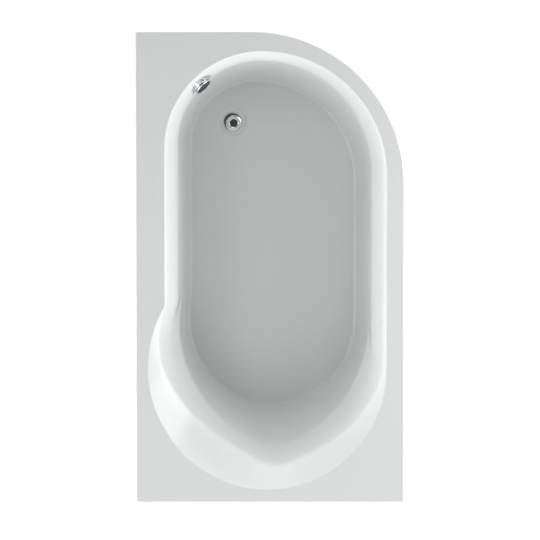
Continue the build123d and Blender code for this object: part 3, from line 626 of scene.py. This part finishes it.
def waste_ring(radius, z):
    """Circle round the waste at one height, or at a height that depends on y."""
    count = 96
    return [(WASTE_X + radius * cos(2 * pi * i / count), WASTE_Y - radius * sin(2 * pi * i / count),
             z(WASTE_Y - radius * sin(2 * pi * i / count)) if callable(z) else z) for i in range(count)]


def shell():
    """The one-piece bath: rim and lip, basin, its outside, and the dish with the waste's hole."""
    skin = Skin()
    front, behind = 0, 1  # slots of the gloss face and of the laminate
    lip_low, lip_edge = RIM - LIP_DROP, 0.8
    outer = [rim_ring(WALL - lip_edge, lip_low), rim_ring(lip_edge, lip_low), rim_ring(0.25, lip_low + 0.2),
             rim_ring(0, lip_low + lip_edge)]
    outer += [rim_ring(0, lip_low + lip_edge + (LIP_DROP - LIP_ROUND - lip_edge) * k / 4) for k in range(1, 5)]
    for degree in TURN_STEPS[1:]:
        turn = radians(degree)
        outer.append(rim_ring(LIP_ROUND * (1 - cos(turn)), RIM - LIP_ROUND * (1 - sin(turn))))
    outer.append(rim_ring(LIP_ROUND + 1.5, RIM))
    outer = skin.joined(outer)
    face = skin.joined(face_rings())
    skin.fill([outer[-1], face[0]])
    back_lip = skin.joined([rim_ring(WALL, lip_low + lip_edge), rim_ring(WALL, RIM - WALL)], behind)
    skin.join(outer[0], back_lip[0], behind)
    back = skin.joined(back_rings(), behind)
    skin.fill([back_lip[-1], back[0]], behind, up=False)
    slope_top, slope_width, steps = DISH + 4.2, 3.6, 6
    dish = [waste_ring(DISH + 5.5, floor_z), waste_ring(slope_top, floor_z)]
    for k in range(1, steps + 1):
        share = smooth(k / steps)
        dish.append(waste_ring(slope_top - slope_width * k / steps,
                               lambda y, s=share: floor_z(y) * (1 - s) + WASTE_Z * s))
    dish += [waste_ring(DISH - 1, WASTE_Z), waste_ring(WASTE_HOLE + 0.5, WASTE_Z),
             waste_ring(WASTE_HOLE, WASTE_Z - 0.5), waste_ring(WASTE_HOLE, WASTE_Z - WALL)]
    dish = skin.joined(dish)
    under = skin.joined([waste_ring(WASTE_HOLE + 1, WASTE_Z - WALL), waste_ring(DISH + WALL, WASTE_Z - WALL),
                         waste_ring(DISH + WALL + 3, lambda y: floor_z(y) - WALL)], behind)
    skin.join(dish[-1], under[0], behind)
    skin.fill([face[-1], dish[0]], front)
    skin.fill([back[-1], under[-1]], behind, up=False)
    bmesh.ops.recalc_face_normals(skin.work, faces=skin.work.faces)
    obj = link("bath_shell", skin.finish("bath_shell"), "bath", "tub_shell", slot="acrylic", sharp=50)
    paint(obj, "acrylic", "laminate")


# Turned and detailed fittings; a lathe's corners are radius, height and, if given, rounding

def waste_pieces():
    """Flange with its tube and spokes, and the domed plug."""
    tube, bore, seat, tube_end, spoke_top, rim = 25.5, 24.2, 20.5, -30.0, -24, 34.5
    ring = lathe("waste_flange_ring", [
        (tube, 1.2), (rim, 1.2, 0.3), (rim, 2.6, 0.6), (33.8, 3.6, 0.5), (bore + 0.8, 1.3, 0.8), (bore, 0.5, 0.4),
        (bore, -8.0), (seat, -8.0, 0.4), (seat, tube_end), (tube, tube_end)])
    boss = lathe("boss", [(4.05, tube_end), (7, tube_end, 0.5), (7, spoke_top, 0.8), (4.05, spoke_top)], 48)
    spokes = [box_mesh("spoke", (6.5, -1.5, tube_end), (21.5, 1.5, spoke_top),
                       Matrix.Rotation(radians(turn), 4, "Z"), 0.4) for turn in (0, 120, 240)]
    mesh = joined_meshes("waste_flange_ring", [ring, boss] + spokes)
    mesh.transform(WASTE_PLACE)
    paint(link("waste_flange_ring", mesh, "bath", "waste_flange", slot="chrome"), "chrome")
    under, edge, crown, plug, dome_edge, steps = -4.0, 0.8, 5.2, 23.0, 21.8, 12
    rise = crown - edge
    dome_r = (plug ** 2 + rise ** 2) / (2 * rise)
    dome = []
    for k in range(steps):
        r = dome_edge * (1 - k / steps)
        dome.append((r, crown - dome_r + sqrt(dome_r ** 2 - r * r)))
    dome.append((0.0, crown))
    side = [(0.0, under), (19.0, under, 0.4), (plug, under / 2, 0.5), (plug, edge - 0.2, 0.9)]
    cap = lathe("plug_dome", side + dome, 96, WASTE_PLACE)
    paint(link("plug_dome", cap, "waste_plug", "plug_cap", slot="chrome"), "chrome")


def slotted_sleeve(inner, outer, high, slots, slot_low, slot_high, columns):
    """Tube about Z with a row of windows; a slot is a pair of column numbers."""
    work = bmesh.new()
    chamfer = 0.8
    levels = [0.0, slot_low, slot_high, high - chamfer, high]
    top, slot_row = len(levels) - 1, 1
    rows = {}
    for side, radius in (("in", inner), ("out", outer)):
        for k, z in enumerate(levels):
            reach = radius - chamfer if side == "out" and k == top else radius
            rows[side, k] = [work.verts.new((reach * MM * cos(2 * pi * j / columns),
                                             reach * MM * sin(2 * pi * j / columns), z * MM))
                             for j in range(columns)]
    cut = {j for first, last in slots for j in range(first, last)}

    def quad(a, b, j, k):
        work.faces.new([rows[a][j], rows[a][k], rows[b][k], rows[b][j]])

    for j in range(columns):
        k = (j + 1) % columns
        for row in range(top):
            if row != slot_row or j not in cut:
                quad(("in", row), ("in", row + 1), j, k)
                quad(("out", row), ("out", row + 1), j, k)
        for row in (0, top) + ((slot_row, slot_row + 1) if j in cut else ()):
            quad(("in", row), ("out", row), j, k)
    for ends in slots:
        for j in ends:
            work.faces.new([rows["in", 1][j], rows["out", 1][j], rows["out", 2][j], rows["in", 2][j]])
    bmesh.ops.recalc_face_normals(work, faces=work.faces)
    mesh = bpy.data.meshes.new("sleeve")
    work.to_mesh(mesh)
    work.free()
    return mesh


def overflow_pieces():
    """Chrome base with water slots on its underside, and the dial in front of its open end; the base's inside is
    black as painted shade for the shadow in the gap behind the dial.
    """
    radius, skin, front, web, web_back, columns = 33.5, 2.5, 17.5, 12.5, 8.0, 180
    slot_count, slot_spacing, slot_half, underside = 7, 22, 3, 90
    slots = []
    for index in range(slot_count):
        middle = (underside + (index - slot_count // 2) * slot_spacing) * columns / 360
        slots.append((round(middle - slot_half), round(middle + slot_half)))
    inner = radius - skin
    sleeve = slotted_sleeve(inner, radius, front, slots, 1.5, web_back - 0.75, columns)
    inside = lathe("web", [(5.05, web), (5.05, 4.0), (9.0, 4.0, 0.4), (9.0, web_back, 1.0), (inner, web_back),
                           (inner, web)], columns)
    plate = joined_meshes("overflow_base", [sleeve, inside])
    # Faces inside the sleeve take the black material: painted shade for the shadow in the gap behind the dial.
    for face in plate.polygons:
        reach = max(hypot(*plate.vertices[v].co[:2]) for v in face.vertices)
        face.material_index = int(reach < (inner + 0.1) * MM)
    plate.transform(OVERFLOW_PLACE)
    paint(link("overflow_base", plate, "bath", "overflow_plate", slot="chrome"), "chrome", "black_plastic")
    low, high, dial, hub = 20.0, 25.0, 34.0, 9.0
    knob = lathe("overflow_dial_face", [
        (0.0, web + 0.3), (hub, web + 0.3, 0.3), (hub, low, 0.5), (dial - 1, low, 0.4), (dial, low + 1, 0.6),
        (dial, high - 1.5, 0.8), (dial - 1.5, high, 1.0), (dial - 4, high, 0.8), (dial - 5, high - 1.4, 0.6),
        (0.0, high - 2.0)], 128)
    for face in knob.polygons:
        in_recess = face.center.z > (high - 2.1) * MM and hypot(*face.center[:2]) < (dial - 4.5) * MM
        face.material_index = int(in_recess)
    knob.transform(OVERFLOW_PLACE)
    paint(link("overflow_dial_face", knob, "overflow_dial", "overflow_knob", slot="chrome"),
          "chrome", "black_plastic")


def threaded_rod(name, radius, pitch, low, high, place):
    """Rod with a rolled thread: ridges climb round it once per pitch and fade into both ends' chamfers."""
    columns, rows_per_turn, end_length, end_drop, depth_share = 20, 4, 1.5, 1.4, 0.56
    depth = depth_share * pitch
    rows = int((high - low) / pitch * rows_per_turn) + 1
    points, faces = [], []
    for i in range(rows + 1):
        z = low + (high - low) * i / rows
        end = min(1.0, min(z - low, high - z) / end_length)
        for j in range(columns):
            turn = 2 * pi * j / columns
            phase = (z / pitch - j / columns) % 1
            r = radius - depth * (1 - abs(2 * phase - 1))
            r = min(r, radius - end_drop * (1 - end))
            points.append((r * cos(turn), r * sin(turn), z))
    for i in range(rows):
        for j in range(columns):
            k = (j + 1) % columns
            faces.append((i * columns + j, i * columns + k, (i + 1) * columns + k, (i + 1) * columns + j))
    faces.append(tuple(range(columns))[::-1])
    faces.append(tuple(rows * columns + j for j in range(columns)))
    mesh = mesh_from(name, points, faces)
    mesh.transform(place)
    return mesh


def nut(name, flats, bore, low, high, place):
    """Hexagon nut with its corners chamfered at both faces."""
    columns, rings, chamfer_share = 60, 6, 0.97
    half = flats / 2
    chamfer = half * chamfer_share
    points = []
    for ring in range(rings):
        for j in range(columns):
            turn = 2 * pi * j / columns
            hexed = half / cos((turn % (pi / 3)) - pi / 6)
            fall = (hexed - chamfer) * tan(radians(30))
            profile = [(bore, low), (chamfer, low), (hexed, low + fall), (hexed, high - fall), (chamfer, high),
                       (bore, high)]
            r, z = profile[ring]
            points.append((r * cos(turn), r * sin(turn), z))
    faces = []
    for i in range(rings):
        for j in range(columns):
            k, n = (j + 1) % columns, (i + 1) % rings
            faces.append((i * columns + j, i * columns + k, n * columns + k, n * columns + j))
    mesh = mesh_from(name, points, faces)
    mesh.transform(place)
    return mesh


def legs():
    """Five legs, each at the place of its CAD stud and nuts."""
    thread_radius, pitch, nut_flats, nut_bore, ribs = 5.95, 1.75, 19.0, 6.0, 8
    for number in range(1, 6):
        low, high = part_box(f"leg_stud_{number}")
        x, y = (low.x + high.x) / 2, (low.y + high.y) / 2
        place = Matrix.Translation((x, y, 0))
        body = f"foot_{number}"
        name = f"levelling_stud_{number}"
        rod = threaded_rod(name, thread_radius, pitch, low.z / MM, high.z / MM, place)
        paint(link(name, rod, body, f"leg_stud_{number}", slot="zinc_plated", sharp=80), "zinc_plated")
        parts = [lathe("pad", [
            (0.0, 0.0), (25.0, 0.0, 1.2), (25.0, 6.0, 2.0), (11.0, 17.0, 5.0), (11.0, 30.0, 1.5),
            (6.0, 30.0, 0.3), (6.0, 8.0), (0.0, 8.0)], 72)]
        for k in range(ribs):
            parts.append(box_mesh("rib", (10.2, -1.0, 6.2), (12.6, 1.0, 28.0),
                                  Matrix.Rotation(2 * pi * k / ribs, 4, "Z"), 0.4))
        name = f"levelling_foot_{number}"
        mesh = joined_meshes(name, parts)
        mesh.transform(place)
        paint(link(name, mesh, body, f"foot_pad_{number}", slot="foot_plastic"), "foot_plastic")
        for kind in ("jack", "lock"):
            node = f"{kind}_nut_{number}"
            low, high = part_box(node)
            name = f"{kind}_hexnut_{number}"
            made = nut(name, nut_flats, nut_bore, low.z / MM, high.z / MM, place)
            paint(link(name, made, node, node, slot="zinc_plated", sharp=20), "zinc_plated")


def carried():
    """CAD nodes that stay: a finish for each, and softened edges unless the piece is thin."""
    thin, wood_edge, hard_edge = 0.015, 0.0012, 0.0005
    finishes = {s["node"]: s["material_slot"] for s in frame["record"]["subparts"]}
    for name, obj in NODES.items():
        if obj.hide_render:
            continue
        look = finishes[name]
        if look == "timber":
            look = "timber_y" if name in ("wall_batten", "front_batten", "corner_batten") else "timber_x"
        paint(obj, look)
        obj.data.shade_smooth()
        weld = obj.modifiers.new("weld", "WELD")
        weld.merge_threshold = 2e-5
        low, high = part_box(name)
        if min(high - low) > thin:
            edge = obj.modifiers.new("edge", "BEVEL")
            edge.width = wood_edge if look.startswith("timber") else hard_edge
            edge.segments = 2
            edge.limit_method = "ANGLE"
            edge.angle_limit = radians(40)
            edge.harden_normals = True
        else:
            obj.data.set_sharp_from_angle(angle=radians(35))


shell()
waste_pieces()
overflow_pieces()
legs()
carried()


# Floor, light and camera

FLOOR_GLOW = 0.57
# World brightness by elevation: sine of the elevation and the level there
SKY_LEVEL = 6.0
SKY = [(0.0, 0.85), (0.2, 0.37), (0.4, 0.0), (0.6, 0.06), (0.8, 0.085), (0.88, 0.127), (1.0, 0.127)]
# A dark field overhead, a little to the right, which the chrome mirrors: cosine of the angle from
# its middle and the share of the light that is left
DARK_MIDDLE = (0.10, -0.10, 0.99)
DARK = [(0.85, 1.0), (0.885, 0.08), (1.0, 0.06)]
BATH_MIDDLE = (0.0, 0.1, 0.5)
# The picture's side in pixels and its scale at the rim, which the camera's lens follows from
PICTURE_SIDE, MM_PER_PIXEL = 540, 3.602
CAMERA_PLACE, CAMERA_AIM = (0.0, 0.250, RIM * MM + 6.5), (-0.0005, -0.0063, RIM * MM)
SENSOR_WIDTH = 36.0


def floor():
    half = 9000
    points = [(-half, -half, 0), (half, -half, 0), (half, half, 0), (-half, half, 0)]
    mesh = mesh_from("studio_floor", points, [(0, 1, 2, 3)])
    obj = bpy.data.objects.new("studio_floor", mesh)
    bpy.context.scene.collection.objects.link(obj)
    look = Look("studio_floor", (0.86, 0.86, 0.86), 0.9)
    look.colour(look.ramp(look.noise(0.6, 2.0), (0.3, (0.85, 0.85, 0.85)), (0.7, (0.87, 0.87, 0.87))))
    look.bsdf.inputs["Emission Color"].default_value = (1, 1, 1, 1)
    look.bsdf.inputs["Emission Strength"].default_value = FLOOR_GLOW
    obj.data.materials.append(look.mat)


def grey_ramp(tree, source, stops):
    ramp = tree.nodes.new("ShaderNodeValToRGB")
    elements = ramp.color_ramp.elements
    while len(elements) < len(stops):
        elements.new(0.5)
    for element, (position, level) in zip(elements, stops):
        element.position = position
        element.color = (level, level, level, 1)
    tree.links.new(source, ramp.inputs["Fac"])
    return ramp.outputs["Color"]


def world():
    """Grey sky, even all round, whose brightness depends on elevation and on the dark field overhead."""
    made = bpy.data.worlds.new("studio")
    bpy.context.scene.world = made
    made.use_nodes = True
    tree = made.node_tree
    coords = tree.nodes.new("ShaderNodeTexCoord")
    split = tree.nodes.new("ShaderNodeSeparateXYZ")
    tree.links.new(coords.outputs["Generated"], split.inputs[0])
    angle = tree.nodes.new("ShaderNodeVectorMath")
    angle.operation = "DOT_PRODUCT"
    angle.inputs[1].default_value = Vector(DARK_MIDDLE).normalized()
    tree.links.new(coords.outputs["Generated"], angle.inputs[0])
    both = tree.nodes.new("ShaderNodeVectorMath")
    both.operation = "MULTIPLY"
    tree.links.new(grey_ramp(tree, split.outputs["Z"], SKY), both.inputs[0])
    tree.links.new(grey_ramp(tree, angle.outputs["Value"], DARK), both.inputs[1])
    tree.links.new(both.outputs["Vector"], tree.nodes["Background"].inputs["Color"])
    tree.nodes["Background"].inputs["Strength"].default_value = SKY_LEVEL


def softbox(name, place, aim, size, power, mirrored=True):
    """Area light in metres and watts; mirrored says whether gloss and chrome show it."""
    data = bpy.data.lights.new(name, "AREA")
    data.shape = "RECTANGLE"
    data.size, data.size_y = size
    data.energy = power
    obj = bpy.data.objects.new(name, data)
    bpy.context.scene.collection.objects.link(obj)
    obj.location = place
    obj.rotation_mode = "QUATERNION"
    obj.rotation_quaternion = (Vector(aim) - Vector(place)).to_track_quat("-Z", "Y")
    obj.visible_glossy = mirrored


def camera():
    data = bpy.data.cameras.new("camera")
    obj = bpy.data.objects.new("camera", data)
    bpy.context.scene.collection.objects.link(obj)
    place, aim = Vector(CAMERA_PLACE), Vector(CAMERA_AIM)
    back = (place - aim).normalized()
    right = Vector((1, 0, 0))
    turned = Matrix((right, back.cross(right), back)).transposed().to_4x4()
    turned.translation = place
    obj.matrix_world = turned
    data.sensor_width = SENSOR_WIDTH
    data.lens = SENSOR_WIDTH * (aim - place).length / (PICTURE_SIDE * MM_PER_PIXEL * MM)
    bpy.context.scene.camera = obj


floor()
world()
softbox("right_low_softbox", (1.9, 0.2, 1.2), BATH_MIDDLE, size=(1.0, 1.8), power=18.0)
softbox("right_top_softbox", (1.2, 0.4, 3.4), (0.2, 0.1, 0.5), size=(1.2, 1.8), power=4.3, mirrored=False)
softbox("left_softbox", (-2.2, 0.0, 2.6), BATH_MIDDLE, size=(1.2, 1.8), power=15.3)
softbox("head_softbox", (0.0, -2.6, 2.4), BATH_MIDDLE, size=(1.8, 1.2), power=20.8)
camera()
bpy.context.scene.view_settings.view_transform = "Standard"
